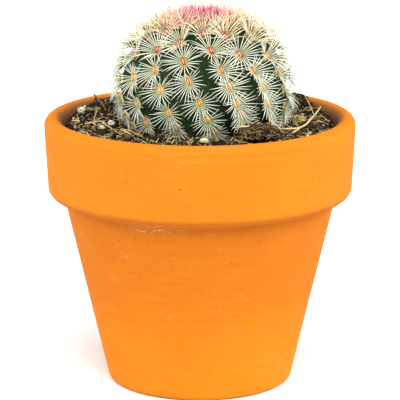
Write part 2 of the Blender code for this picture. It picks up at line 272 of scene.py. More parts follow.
def damp_and_shade_share(tree, place):
    """High on the inner wall, darkened by damp stain and painted shade; 0 on the crest and the outside."""
    flat = add_node(tree, "ShaderNodeMapping", {"Vector": place, "Scale": (1.0, 1.0, 0.0)})
    foot = inner_wall_radius(0.0)
    slope = (inner_wall_radius(POT_HEIGHT) - foot) / POT_HEIGHT
    wall = value_math(tree, "MULTIPLY_ADD", height_of(tree, place), slope, foot)
    depth = value_math(tree, "SUBTRACT", vector_math(tree, "LENGTH", flat.outputs["Vector"]), wall)
    blot = value_math(tree, "MULTIPLY_ADD", noise_at(tree, place, 200.0), DAMP_SHADE_BLOT, depth)
    inputs = {"Value": blot, "From Min": DAMP_SHADE_START, "From Max": DAMP_SHADE_END, "To Max": 0.92}
    share = add_node(tree, "ShaderNodeMapRange", inputs, interpolation_type="SMOOTHSTEP")
    return share.outputs["Result"]


def terracotta_look():
    look, tree, shader = new_look("terracotta_clay", 0.85, Specular_IOR_Level=0.07)
    place = object_place(tree)
    streaks = noise_at(tree, object_place(tree, (1.0, 1.0, 9.0)), 60.0, 4.0, 0.6)
    grain = noise_at(tree, place, 1500.0, 3.0, 0.7)
    pits = pit_share(tree, place)
    tone = mix(tree, pits, clay_tone(tree, place, streaks, grain), (0.20, 0.065, 0.015))
    tone = mix(tree, scuff_share(tree, place), tone, (0.80, 0.42, 0.20))
    tone = mix(tree, chalk_share(tree, place), tone, (0.90, 0.56, 0.24))
    # Painted light and shade by height: lighter at the base, darker up the body, and a painted shadow under
    # the collar's foot.
    level = share_between(tree, height_of(tree, place), 0.0, COLLAR_FOOT_HEIGHT + COLLAR_FOOT_ROUNDING)
    tone = multiply(tree, tone, ramp(tree, level, PAINTED_SHADING_TINTS))
    # A damp stain and painted shade darken the inner wall inside the pot.
    tone = mix(tree, damp_and_shade_share(tree, place), tone, (0.17, 0.095, 0.050))
    paint(tree, shader, tone)
    rough = mix(tree, 0.5, fade(tree, grain, 0.3, 0.7, 0.90, 0.72), fade(tree, streaks, 0.3, 0.7, 0.74, 0.92))
    tree.links.new(rough, shader.inputs["Roughness"])
    relief = mix(tree, 0.5, mix(tree, 0.35, grey(0.5), grain), streaks)
    bump(tree, shader, mix(tree, pits, relief, grey(0.0)), 0.18 * MM, 0.8)
    return look


def peat_look():
    look, tree, shader = new_look("peat", 0.95, Specular_IOR_Level=0.15)
    place = object_place(tree)
    clumps = noise_at(tree, place, 420.0, 5.0, 0.65)
    fine = noise_at(tree, place, 2200.0, 3.0, 0.7)
    tone = ramp(tree, clumps, [(0.32, (0.004, 0.003, 0.002)), (0.50, (0.022, 0.012, 0.007)),
                               (0.63, (0.080, 0.044, 0.022)), (0.78, (0.20, 0.120, 0.055))])
    tone = mix(tree, 0.5, tone, fade(tree, fine, 0.35, 0.7, 0.15, 1.5), "MULTIPLY")
    paint(tree, shader, tone)
    bump(tree, shader, mix(tree, 0.5, clumps, fine), 0.8 * MM)
    return look


def crumb_look():
    """u is the crumb's own brightness; v picks peat, bark, olive moss, tan fibre or pale mineral."""
    look, tree, shader = new_look("peat_crumbs", 0.9, Specular_IOR_Level=0.2)
    u, v = strand_axes(tree)
    kind = ramp(tree, v, [(0.0, (0.008, 0.005, 0.003)), (0.30, (0.036, 0.018, 0.009)),
                          (0.50, (0.105, 0.055, 0.024)), (0.68, (0.18, 0.15, 0.045)),
                          (0.84, (0.48, 0.38, 0.17)), (1.0, (0.78, 0.72, 0.50))])
    paint(tree, shader, multiply(tree, kind, fade(tree, u, 0.0, 1.0, 0.45, 1.5)))
    return look


def flesh_look():
    look, tree, shader = new_look("cactus_skin", 0.65, Specular_IOR_Level=0.12)
    place = object_place(tree)
    patches = noise_at(tree, place, 160.0, 4.0, 0.6)
    fine = noise_at(tree, place, 1400.0, 3.0, 0.6)
    tone = ramp(tree, patches, [(0.30, (0.003, 0.010, 0.003)), (0.50, (0.008, 0.026, 0.006)),
                                (0.72, (0.026, 0.062, 0.016))])
    speckle = ramp(tree, fine, [(0.35, (0.003, 0.012, 0.003)), (0.7, (0.045, 0.09, 0.026))])
    tone = mix(tree, 0.30, tone, speckle)
    height = height_of(tree, place)
    tone = mix(tree, share_between(tree, height, 94.5 * MM, 88.5 * MM), tone, (0.045, 0.036, 0.016))
    tone = mix(tree, share_between(tree, height, 123.8 * MM, 125.6 * MM), tone, (0.10, 0.012, 0.040))
    paint(tree, shader, tone)
    bump(tree, shader, mix(tree, 0.5, patches, fine), 0.2 * MM)
    return look


def spine_look():
    """v runs from grey-green, painted shade for the lowest spines, through green-white, straw and pink to
    magenta; u from foot to tip.
    """
    look, tree, shader = new_look("spine_bristle", 0.5, Specular_IOR_Level=0.25)
    u, v = strand_axes(tree)
    foot = ramp(tree, v, [(0.0, (0.30, 0.38, 0.22)), (0.28, (0.36, 0.40, 0.20)), (0.45, (0.36, 0.24, 0.08)),
                          (0.60, (0.42, 0.14, 0.13)), (0.72, (0.34, 0.04, 0.11)), (1.0, (0.16, 0.008, 0.04))])
    # Near v 0 the body turns darker grey-green: painted shade on the spines low under the globe.
    body = ramp(tree, v, [(0.0, (0.56, 0.64, 0.46)), (0.11, (0.84, 0.88, 0.74)), (0.28, (0.90, 0.90, 0.72)),
                          (0.45, (0.80, 0.68, 0.36)), (0.60, (0.84, 0.58, 0.44)), (0.72, (0.80, 0.36, 0.36)),
                          (1.0, (0.46, 0.04, 0.14))])
    tip = ramp(tree, v, [(0.0, (0.86, 0.88, 0.78)), (0.28, (0.88, 0.86, 0.74)), (0.45, (0.84, 0.62, 0.52)),
                         (0.60, (0.84, 0.46, 0.42)), (0.72, (0.80, 0.30, 0.32)), (1.0, (0.50, 0.05, 0.14))])
    lower = mix(tree, fade(tree, u, 0.04, 0.42), foot, body)
    paint(tree, shader, mix(tree, fade(tree, u, 0.66, 0.96), lower, tip))
    return look


def wool_look():
    """u runs from a pad's middle to its rim; v from brown-orange to crimson."""
    look, tree, shader = new_look("areole_wool", 0.85, Specular_IOR_Level=0.1)
    u, v = strand_axes(tree)
    old = ramp(tree, u, [(0.0, (0.86, 0.66, 0.32)), (0.16, (0.80, 0.46, 0.14)), (0.34, (0.52, 0.20, 0.035)),
                         (0.54, (0.82, 0.48, 0.12)), (0.76, (0.88, 0.68, 0.26)), (1.0, (0.84, 0.78, 0.48))])
    young = ramp(tree, u, [(0.0, (0.88, 0.66, 0.54)), (0.13, (0.78, 0.32, 0.22)),
                           (0.28, (0.26, 0.010, 0.018)), (0.50, (0.38, 0.022, 0.018)),
                           (0.68, (0.80, 0.34, 0.08)), (0.90, (0.84, 0.68, 0.32))])
    paint(tree, shader, mix(tree, v, old, young))
    return look


def straw_look():
    """u runs along the stalk; v is the stalk's own shade."""
    look, tree, shader = new_look("dry_straw", 0.62, Specular_IOR_Level=0.35)
    u, v = strand_axes(tree)
    place = add_node(tree, "ShaderNodeCombineXYZ", {"X": u, "Y": v}).outputs["Vector"]
    worn = fade(tree, noise_at(tree, place, 14.0, 3.0, 0.6), 0.3, 0.7, 0.55, 1.35)
    shade = ramp(tree, v, [(0.0, (0.10, 0.055, 0.02)), (0.35, (0.34, 0.22, 0.075)),
                           (0.70, (0.66, 0.47, 0.17)), (1.0, (0.86, 0.74, 0.42))])
    paint(tree, shader, mix(tree, 0.7, shade, worn, "MULTIPLY"))
    return look


def mineral_look(name, low, high, hole_colour, scale):
    look, tree, shader = new_look(name, 0.9, Specular_IOR_Level=0.25)
    place = object_place(tree)
    tone = ramp(tree, noise_at(tree, place, scale, 4.0, 0.6), [(0.3, low), (0.7, high)])
    cells = add_node(tree, "ShaderNodeTexVoronoi", {"Vector": place, "Scale": scale * 3.0})
    holes = fade(tree, cells.outputs["Distance"], 0.12, 0.30, 1.0, 0.0)
    tone = mix(tree, mix(tree, 0.6, grey(0.0), holes), tone, hole_colour)
    paint(tree, shader, tone)
    bump(tree, shader, mix(tree, holes, grey(1.0), grey(0.0)), 0.12 * MM, 0.7)
    return look


def bark_look():
    look, tree, shader = new_look("bark", 0.88, Specular_IOR_Level=0.2)
    layers = noise_at(tree, object_place(tree, (1.0, 1.0, 3.0)), 700.0, 4.0, 0.6)
    tone = ramp(tree, layers, [(0.30, (0.020, 0.011, 0.006)), (0.52, (0.10, 0.058, 0.026)),
                               (0.74, (0.27, 0.17, 0.075))])
    paint(tree, shader, tone)
    bump(tree, shader, layers, 0.4 * MM)
    return look


def floor_look():
    look, _, shader = new_look("pale_floor", 0.9, Specular_IOR_Level=0.0)
    shader.inputs["Base Color"].default_value = (0.95, 0.95, 0.95, 1.0)
    return look


# ------------------------ meshes


def add_piece(name, skin, look, slot, *replaced):
    """A smooth piece on the one body, from (points, faces) or (points, faces, uv)."""
    points, faces = skin[:2]
    mesh = bpy.data.meshes.new(name)
    mesh.from_pydata(np.asarray(points, float).tolist(), [], faces)
    if len(skin) > 2:
        corners = np.empty(len(mesh.loops), np.int32)
        mesh.loops.foreach_get("vertex_index", corners)
        layer = mesh.uv_layers.new(name="OFBake")
        layer.data.foreach_set("uv", np.asarray(skin[2], np.float32)[corners].ravel())
    mesh.materials.append(look)
    mesh.shade_smooth()
    mesh.update()
    piece = bpy.data.objects.new(name, mesh)
    bpy.context.scene.collection.objects.link(piece)
    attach(piece, "root")
    if replaced:
        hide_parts(*replaced)
    return piece


def ring_faces(rows, segments, first=0, closed=False):
    """Quads between consecutive rings, facing out when the rings run clockwise from above downwards."""
    columns = np.arange(segments)
    after = (columns + 1) % segments
    faces = []
    for row in range(rows if closed else rows - 1):
        upper = first + row * segments
        lower = first + (row + 1) % rows * segments
        faces.append(np.stack([upper + columns, lower + columns, lower + after, upper + after], axis=1))
    return np.concatenate(faces).tolist()


def capped(top, rows, foot):
    """Points and faces of a closed skin: rings between a top point and a foot point."""
    segments = len(rows[0])
    points = np.concatenate([[top], *rows, [foot]])
    last = len(points) - 1
    faces = ring_faces(len(rows), segments, 1)
    for i in range(segments):
        j = (i + 1) % segments
        faces.append((0, 1 + i, 1 + j))
        faces.append((last, last - segments + j, last - segments + i))
    return points, faces


def arc(centre_r, centre_z, radius, start, end, steps):
    turn = np.radians(np.linspace(start, end, steps + 1))
    return np.stack([centre_r + radius * np.cos(turn), centre_z + radius * np.sin(turn)], axis=1)


def stretch(start, end, steps):
    """Points on a straight (r, z) run, its ends left out."""
    share = np.linspace(0.0, 1.0, steps + 2)[1:-1, None]
    return np.array(start) + (np.array(end) - np.array(start)) * share


def unit(vectors):
    return vectors / np.linalg.norm(vectors, axis=-1, keepdims=True)


def strands(paths, widths, side, sides, kinds, flatness=1.0, kind_width=0.02):
    """Tapered tubes along paths (strand, station, 3), with (u, v) = (share of length, kind)."""
    count, stations, _ = paths.shape
    along = unit(np.gradient(paths, axis=1))
    across = unit(side[:, None, :] - along * np.sum(along * side[:, None, :], axis=2, keepdims=True))
    up = np.cross(along, across)
    turn = 2.0 * pi * np.arange(sides) / sides
    offset = across[:, :, None, :] * np.cos(turn)[:, None]
    offset = offset + up[:, :, None, :] * (np.sin(turn) * flatness)[:, None]
    points = paths[:, :, None, :] + offset * widths[:, :, None, None]
    first = (np.arange(count) * stations * sides)[:, None, None]
    row = (np.arange(stations - 1) * sides)[None, :, None]
    column = np.arange(sides)[None, None, :]
    after = (column + 1) % sides
    quads = np.stack([first + row + column, first + row + after,
                      first + row + sides + after, first + row + sides + column], axis=-1)
    faces = quads.reshape(-1, 4).tolist()
    rim = np.arange(sides)
    base = np.arange(count)[:, None] * stations * sides
    faces += (base + rim[::-1]).tolist()
    faces += (base + (stations - 1) * sides + rim).tolist()
    shape = (count, stations, sides)
    u = np.broadcast_to(np.linspace(0.0, 1.0, stations)[None, :, None], shape)
    v = np.clip(np.asarray(kinds), 0.0, 1.0 - kind_width)[:, None, None]
    v = np.broadcast_to(v + kind_width * np.arange(sides) / sides, shape)
    return points.reshape(-1, 3), faces, np.stack([u, v], axis=-1).reshape(-1, 2)


def joined(parts):
    """Several (points, faces, uv) as one."""
    points, faces, uv, first = [], [], [], 0
    for more_points, more_faces, more_uv in parts:
        points.append(more_points)
        faces += [[first + corner for corner in face] for face in more_faces]
        uv.append(more_uv)
        first += len(more_points)
    return np.concatenate(points), faces, np.concatenate(uv)


def ball(subdivisions):
    form = bmesh.new()
    bmesh.ops.create_icosphere(form, subdivisions=subdivisions, radius=1.0)
    points = np.array([corner.co[:] for corner in form.verts])
    faces = np.array([[corner.index for corner in face.verts] for face in form.faces])
    form.free()
    return points, faces


def turns(rng, count):
    """Random rotation matrices."""
    w, x, y, z = unit(rng.normal(size=(count, 4))).T
    rows = [1 - 2 * (y * y + z * z), 2 * (x * y - z * w), 2 * (x * z + y * w),
            2 * (x * y + z * w), 1 - 2 * (x * x + z * z), 2 * (y * z - x * w),
            2 * (x * z - y * w), 2 * (y * z + x * w), 1 - 2 * (x * x + y * y)]
    return np.stack(rows, axis=1).reshape(count, 3, 3)


def lumps(rng, places, sizes, kinds, shades, subdivisions=2, roughness=0.28):
    """Dented balls at places, with (u, v) = (shade, kind) and a small patch of each for its bake."""
    ball_points, ball_faces = ball(subdivisions)
    count = len(places)
    dent = np.ones((count, len(ball_points)))
    for pitch in (1.6, 2.7, 4.6):
        waves = rng.normal(size=(count, 3)) * pitch
        phase = rng.uniform(0.0, 2.0 * pi, (count, 1))
        dent += roughness / pitch ** 0.6 * np.sin(waves @ ball_points.T + phase)
    shape = ball_points[None] * dent[:, :, None] * sizes[:, None, :]
    points = np.einsum("nij,nkj->nki", turns(rng, count), shape) + places[:, None, :]
    first = np.arange(count)[:, None, None] * len(ball_points)
    patch = 0.02
    u = np.clip(shades, 0.0, 1.0 - patch)[:, None] + patch * (ball_points[None, :, 0] + 1.0) / 2.0
    v = np.clip(kinds, 0.0, 1.0 - patch)[:, None] + patch * (ball_points[None, :, 1] + 1.0) / 2.0
    uv = np.stack([u, v], axis=-1)
    return points.reshape(-1, 3), (ball_faces[None] + first).reshape(-1, 3).tolist(), uv.reshape(-1, 2)


# ------------------------ pot

POT_SEGMENTS = 288
EDGE = 0.5 * MM


def inner_wall_radius(height):
    rim = RIM_RADIUS - RIM_OUTER_ROUNDING - RIM_INNER_ROUNDING
    rise = (height - FLOOR_THICKNESS) / (POT_HEIGHT - RIM_INNER_ROUNDING - FLOOR_THICKNESS)
    return INNER_FOOT_RADIUS + (rim - INNER_FOOT_RADIUS) * rise


def pot_profile():
    """(r, z) points round the clay's section, from the drain hole out, up, over the rim and back down."""
    crest = RIM_RADIUS - RIM_OUTER_ROUNDING
    collar_foot = COLLAR_FOOT_HEIGHT + COLLAR_FOOT_ROUNDING
    inner_foot = FLOOR_THICKNESS + INNER_FOOT_ROUNDING
    base_arc = arc(BASE_RADIUS - BASE_ROUNDING, BASE_ROUNDING, BASE_ROUNDING, -90, -10, 6)
    foot_arc = arc(COLLAR_FOOT_RADIUS - COLLAR_FOOT_ROUNDING, collar_foot, COLLAR_FOOT_ROUNDING, -90, 0, 8)
    outer_arc = arc(crest, POT_HEIGHT - RIM_OUTER_ROUNDING, RIM_OUTER_ROUNDING, 0, 90, 9)
    inner_arc = arc(crest, POT_HEIGHT - RIM_INNER_ROUNDING, RIM_INNER_ROUNDING, 90, 180, 9)[1:]
    under_collar = (BODY_TOP_RADIUS, COLLAR_FOOT_HEIGHT)
    groove = [(RIM_RADIUS, GROOVE_HEIGHT - 0.35 * MM), (RIM_RADIUS - 0.10 * MM, GROOVE_HEIGHT - 0.1 * MM),
              (RIM_RADIUS - 0.10 * MM, GROOVE_HEIGHT + 0.1 * MM)]
    inner_foot_arc = [(inner_wall_radius(inner_foot) - 0.1 * MM, inner_foot),
                      (INNER_FOOT_RADIUS - 0.6 * MM, FLOOR_THICKNESS + 0.9 * MM),
                      (INNER_FOOT_RADIUS - INNER_FOOT_ROUNDING, FLOOR_THICKNESS)]
    drain_top = (DRAIN_RADIUS + EDGE, FLOOR_THICKNESS)
    return np.concatenate([
        [(DRAIN_RADIUS, FLOOR_THICKNESS - EDGE), (DRAIN_RADIUS, EDGE), (DRAIN_RADIUS + EDGE, 0.0)],
        stretch((DRAIN_RADIUS, 0.0), base_arc[0], 4), base_arc,
        stretch(base_arc[-1], under_collar, 44), [under_collar],
        stretch(under_collar, foot_arc[0], 1), foot_arc,
        stretch(foot_arc[-1], (RIM_RADIUS, GROOVE_HEIGHT - EDGE), 15), groove, outer_arc, inner_arc,
        stretch(inner_arc[-1], inner_foot_arc[0], 16), inner_foot_arc,
        stretch(inner_foot_arc[-1], drain_top, 3), [drain_top]])


def build_pot(look):
    """The turned clay, a little uneven, as thrown clay is."""
    rows = []
    for radius, height in pot_profile():
        ring = []
        for i in range(POT_SEGMENTS):
            angle = -2.0 * pi * i / POT_SEGMENTS
            x, y = cos(angle), sin(angle)
            wobble = noise.noise(Vector((x * 1.3, y * 1.3, height * 22.0))) * 0.16 * MM
            wobble += noise.noise(Vector((x * 3.0, y * 3.0, height * 260.0))) * 0.05 * MM
            out = radius + wobble * (1.0 if radius > BASE_RADIUS - BASE_ROUNDING else 0.0)
            ring.append((out * x, out * y, height))
        rows.append(ring)
    skin = np.concatenate(rows[::-1]), ring_faces(len(rows), POT_SEGMENTS, closed=True)
    add_piece("pot_clay", skin, look, "terracotta", "terracotta_pot")


# ------------------------ stem


def rib_azimuth(rib, polar):
    turn = RIB_TWIST * (polar - 90.0) + RIB_TWIST_GAIN * (polar - 90.0) ** 2
    return FIRST_RIB_AZIMUTH + rib * 360.0 / RIBS + turn


def areole_index(polar, rib):
    """The inverse of areole_polar."""
    shortening = np.array(RIB_SHORTENING)[rib]
    inside = AREOLE_STEP ** 2 - 4.0 * shortening * (polar - AREOLE_FIRST)
    return (AREOLE_STEP - np.sqrt(np.maximum(inside, 0.0))) / (2.0 * shortening)


def areole_polar(index, rib):
    return AREOLE_FIRST + AREOLE_STEP * index - RIB_SHORTENING[rib] * index * index


def stem_points(polar, azimuth):
    """Points on the ribbed globe, for arrays of polar angles and azimuths in degrees."""
    polar, azimuth = np.broadcast_arrays(np.asarray(polar, float), np.asarray(azimuth, float))
    angle = np.radians(polar)
    power = 2.0 / np.where(polar < 90.0, UPPER_ROUNDNESS, LOWER_ROUNDNESS)
    out = STEM_RADIUS * np.abs(np.sin(angle)) ** power
    up = np.where(polar < 90.0, UPPER_HEIGHT, LOWER_HEIGHT)
    up = up * np.sign(np.cos(angle)) * np.abs(np.cos(angle)) ** power
    from_first = (azimuth - rib_azimuth(0, polar)) * RIBS / 360.0
    wave = (1.0 + np.cos(2.0 * pi * from_first)) / 2.0
    rib = np.round(from_first).astype(int) % RIBS
    beat = np.cos(2.0 * pi * (areole_index(polar, rib) - np.array(RIB_STAGGER)[rib]))
    depth = RIB_DEPTH * (1.0 - wave) - BUMP_HEIGHT * beat * wave ** 2
    scale = 1.0 - depth / STEM_RADIUS * np.sin(angle)
    turn = np.radians(azimuth)
    return np.stack([STEM_X + out * scale * np.sin(turn), -out * scale * np.cos(turn),
                     EQUATOR_HEIGHT + up * scale], axis=-1)


def stem_frames(polar, azimuth):
    """Points, outward normals, directions down the rib and sideways directions."""
    step = 1.2
    lean = (rib_azimuth(0, polar + step) - rib_azimuth(0, polar - step)) / 2.0
    down = stem_points(polar + step, azimuth + lean) - stem_points(polar - step, azimuth - lean)
    width = step / np.maximum(np.sin(np.radians(polar)), 0.05)
    across = stem_points(polar, azimuth + width) - stem_points(polar, azimuth - width)
    normal = unit(np.cross(down, across))
    down = unit(down)
    return stem_points(polar, azimuth), normal, down, np.cross(normal, down)


def foot_ring(radius, height, segments):
    turn = np.radians(rib_azimuth(0, 113.0) + 360.0 * np.arange(segments) / segments)
    x, y = STEM_X + radius * np.sin(turn), -radius * np.cos(turn)
    return np.stack([x, y, np.full(segments, height)], axis=1)


def build_stem(look):
    segments = RIBS * 24
    share = 360.0 * np.arange(segments) / segments
    polars = np.concatenate([[1.5, 3.0, 5.0, 7.5], np.arange(10.0, 126.0, 1.0)])
    rows = [stem_points(polar, rib_azimuth(0, polar) + share) for polar in polars]
    rows += [foot_ring(radius, height, segments) for radius, height in BURIED_FOOT]
    foot = np.array([STEM_X, 0.0, BURIED_FOOT[-1][1]])
    skin = capped(stem_points(0.0, 0.0), [row[::-1] for row in rows], foot)
    add_piece("cactus_flesh", skin, look, "flesh", "cactus_stem")


# ------------------------ areoles and spines

PAD_WIDTH = 1.15 * MM
PAD_LENGTH = 1.80 * MM
PAD_RISE = 0.95 * MM
PAD_RINGS = 9
PAD_SIDES = 24
SPINE_STATIONS = 8
SPINE_SIDES = 6
CROWN_POLAR = 24.0
LOWEST_AREOLE = 117.0
LEAST_AREOLE_STEP = 8.0
CROWN_CROWDING = 0.62
CROWDED_POLAR = 20.0


def areoles_of(rib):
    """Polar angles of one rib's areoles, from the crown to the peat."""
    polars = []
    for step in range(-2, 8):
        polar = float(areole_polar(RIB_STAGGER[rib] + step, rib))
        if CROWDED_POLAR < polar < LOWEST_AREOLE and (not polars or polar - polars[-1] > LEAST_AREOLE_STEP):
            polars.append(polar)
    while polars[0] * CROWN_CROWDING > 7.0:
        polars.insert(0, polars[0] * CROWN_CROWDING)
    return polars


def blush(polar, count, rng):
    """The kinds of an areole's spines: white low down, with painted-shade grey-green on the lowest, straw
    near the top, pink at the crown.
    """
    kind = np.interp(polar, [6.0, 11.0, 15.0, 19.0, 24.0, 34.0, 44.0, 60.0, 96.0, 116.0],
                     [0.86, 0.80, 0.67, 0.52, 0.43, 0.38, 0.30, 0.18, 0.10, 0.02])
    spread = np.interp(polar, [16.0, 26.0, 40.0], [0.10, 0.07, 0.05])
    return kind + rng.normal(0.0, 0.4 * spread) + rng.normal(0.0, spread, count)


def growth(polar):
    """Young areoles near the top are smaller."""
    return np.interp(polar, [0.0, 12.0, 24.0, 36.0, 48.0, 105.0, 125.0],
                     [0.50, 0.65, 1.15, 1.15, 1.0, 1.0, 0.85])


def pad_mesh(place, normal, down, side, size, kind, rng):
    """One almond-shaped woolly pad: a rounded rim, two grooves and a ridge down the middle."""
    ring_share = (np.arange(PAD_RINGS) + 1.0) / PAD_RINGS
    turn = 2.0 * pi * np.arange(PAD_SIDES) / PAD_SIDES
    s = ring_share[:, None] * np.cos(turn)
    d = ring_share[:, None] * np.sin(turn)
    rise = np.sqrt(np.maximum(1.0 - ring_share ** 2, 0.0))[:, None] * 0.9
    groove = 0.55 * np.exp(-((np.abs(s) - 0.36) / 0.14) ** 2) * (np.abs(d) < 0.72)
    lift = rise - groove * rise + rng.uniform(-0.06, 0.06, s.shape) * rise
    lift[-1] = -0.5
    wide = (s * PAD_WIDTH * (1.0 - 0.30 * np.abs(d) ** 2))[..., None] * side
    long = (d * PAD_LENGTH * (1.0 + 0.30 * (d < 0.0) * (1.0 - np.abs(s))))[..., None] * down
    points = place + size * (wide + long + lift[..., None] * PAD_RISE * normal)
    top = place + size * PAD_RISE * 0.95 * normal
    foot = place - size * PAD_RISE * 0.6 * normal
    mesh_points, faces = capped(top, list(points), foot)
    u = np.clip(np.maximum(np.abs(s) * 1.05, np.abs(d) ** 2), 0.0, 0.985)
    v = np.clip(kind, 0.0, 0.97) + 0.02 * (np.cos(turn)[None, :] + 1.0) / 2.0
    uv = np.stack([u, np.broadcast_to(v, u.shape)], axis=-1).reshape(-1, 2)
    return mesh_points, faces, np.concatenate([[(0.0, kind)], uv, [(0.985, kind)]])


def arched(place, forward, normal, length, lean, droop, stations):
    """Paths that leave at a lean above the surface and bend back towards it."""
    share = np.linspace(0.0, 1.0, stations)
    flat = np.cos(lean)[:, None] * share
    rise = np.sin(lean)[:, None] * share - droop[:, None] * share ** 2
    return (place[:, None, :] + forward[:, None, :] * (flat * length[:, None])[..., None]
            + normal * (rise * length[:, None])[..., None])


def taper(width, stations, start=1.0):
    share = np.linspace(0.0, 1.0, stations)
    return width[:, None] * (start * (1.0 - share) ** 0.75 + 0.18 + 0.35 * share * (1.0 - share))


def radial_spines(place, normal, down, side, polar, rng):
    """The comb of one areole: spines leave its oval rim all round and arch over the skin."""
    size = float(growth(polar))
    reach = np.interp(polar, [0.0, 10.0, 18.0, 22.0, 34.0, 50.0, 72.0, 94.0, 106.0, 125.0],
                      [4.8, 5.2, 6.4, 9.0, 10.6, 10.2, 8.4, 7.4, 5.6, 3.6])
    lean = np.interp(polar, [0.0, 10.0, 18.0, 24.0, 40.0, 55.0, 78.0, 125.0],
                     [76.0, 66.0, 56.0, 54.0, 50.0, 44.0, 36.0, 33.0])
    droop = np.interp(polar, [0.0, 20.0, 30.0, 50.0, 78.0, 125.0], [0.0, 0.14, 0.30, 0.24, 0.18, 0.26])
    count = int(np.interp(polar, [8.0, 18.0, 24.0, 40.0, 50.0, 80.0, 95.0],
                          [13.0, 16.0, 30.0, 34.0, 31.0, 29.0, 26.0]))
    lean_spread = np.interp(polar, [12.0, 24.0, 45.0], [20.0, 10.0, 3.0])
    droop_spread = np.interp(polar, [12.0, 30.0, 50.0], [0.20, 0.12, 0.03])
    sway_spread = np.interp(polar, [12.0, 30.0, 45.0], [0.34, 0.12, 0.025])
    turn = 2.0 * pi * (np.arange(count) + rng.uniform(-0.16, 0.16, count)) / count
    upward_kept = np.interp(polar, [35.0, 55.0], [1.0, 0.75])
    turn = turn[(np.cos(turn) > -0.55) | (rng.uniform(0.0, 1.0, count) < upward_kept)]
    count = len(turn)
    across, along = np.sin(turn)[:, None], np.cos(turn)[:, None]
    forward = unit(across * side * 1.2 + along * down)
    rim = place + size * (across * 0.80 * PAD_WIDTH * side + along * 0.80 * PAD_LENGTH * down)
    rim = rim + normal * 0.22 * PAD_RISE * size
    along = np.cos(turn)
    length = reach * (0.96 + 0.06 * along) * rng.uniform(0.92, 1.06, count) * MM
    length[along < -0.5] *= np.interp(polar, [20.0, 26.0, 34.0, 45.0, 70.0], [0.90, 0.74, 0.80, 0.86, 0.68])
    length[along > 0.5] *= np.interp(polar, [20.0, 36.0, 50.0, 80.0], [0.66, 0.84, 1.0, 0.88])
    tilt = np.radians(lean + rng.normal(0.0, lean_spread, count))
    bend = droop + rng.normal(0.0, droop_spread, count)
    paths = arched(rim, forward, normal, length, tilt, bend, SPINE_STATIONS)
    share = np.linspace(0.0, 1.0, SPINE_STATIONS)
    sway = rng.normal(0.0, sway_spread, count)[:, None] * share ** 2
    aside = np.cross(normal, forward)
    paths = paths + aside[:, None, :] * (sway * length[:, None])[..., None]
    width = rng.uniform(0.105, 0.135, count) * MM * np.interp(polar, [15.0, 30.0], [1.25, 1.0])
    return strands(paths, spine_taper(width), aside, SPINE_SIDES, blush(polar, count, rng), 0.8)


def spine_taper(width):
    """Spines are broad at the foot, then even, and sharp at the tip."""
    share = np.linspace(0.0, 1.0, SPINE_STATIONS)
    return width[:, None] * (0.55 * np.exp(-share / 0.12) + 0.95 * (1.0 - share ** 3) + 0.18)


def central_spines(place, normal, down, side, polar, rng):
    """Two short rows of young spines that stand in the middle of a pad near the crown."""
    size = float(growth(polar))
    count = 6
    along = np.tile(np.linspace(-1.0, 1.0, count // 2), 2)[:, None]
    hand = np.repeat([-1.0, 1.0], count // 2)[:, None]
    foot = place + size * (hand * 0.36 * PAD_WIDTH * side + along * 0.5 * PAD_LENGTH * down)
    forward = unit(hand * side * 0.5 + along * down + rng.normal(0.0, 0.15, (count, 3)))
    reach = np.interp(polar, [20.0, 50.0, 75.0], [1.3, 1.0, 0.5])
    length = reach * MM * size * rng.uniform(0.8, 1.2, count)
    lean = np.radians(rng.uniform(35.0, 65.0, count))
    foot = foot + normal * PAD_RISE * 0.40 * size
    paths = arched(foot, forward, normal, length, lean, np.full(count, 0.1), 5)
    kinds = np.interp(polar, [20.0, 56.0, 72.0], [0.97, 0.93, 0.50]) + rng.normal(0.0, 0.02, count)
    return strands(paths, taper(np.full(count, 0.12 * MM), 5), np.cross(normal, forward), 5, kinds)


def wool_hairs(place, normal, down, side, polar, rng):
    """Short pale wool that spills over a pad's rim and stands up in a peak above it."""
    size = float(growth(polar))
    count, peak = 34, 14
    turn = rng.uniform(0.0, 2.0 * pi, count)
    turn[:peak] = rng.normal(-0.5 * pi, 0.30, peak)
    out, along = np.cos(turn)[:, None], np.sin(turn)[:, None]
    forward = unit(out * side * 0.6 + along * down)
    foot = place + size * (out * 0.72 * PAD_WIDTH * side + along * 0.82 * PAD_LENGTH * down)
    length = rng.uniform(0.5, 1.1, count) * MM * size
    length[:peak] *= 1.7
    lean = np.radians(rng.uniform(15.0, 50.0, count))
    foot = foot + normal * PAD_RISE * 0.35 * size
    paths = arched(foot, forward, normal, length, lean, rng.uniform(0.2, 0.6, count), 4)
    width = taper(np.full(count, 0.07 * MM), 4)
    return strands(paths, width, np.cross(normal, forward), 3, rng.uniform(0.36, 0.44, count))


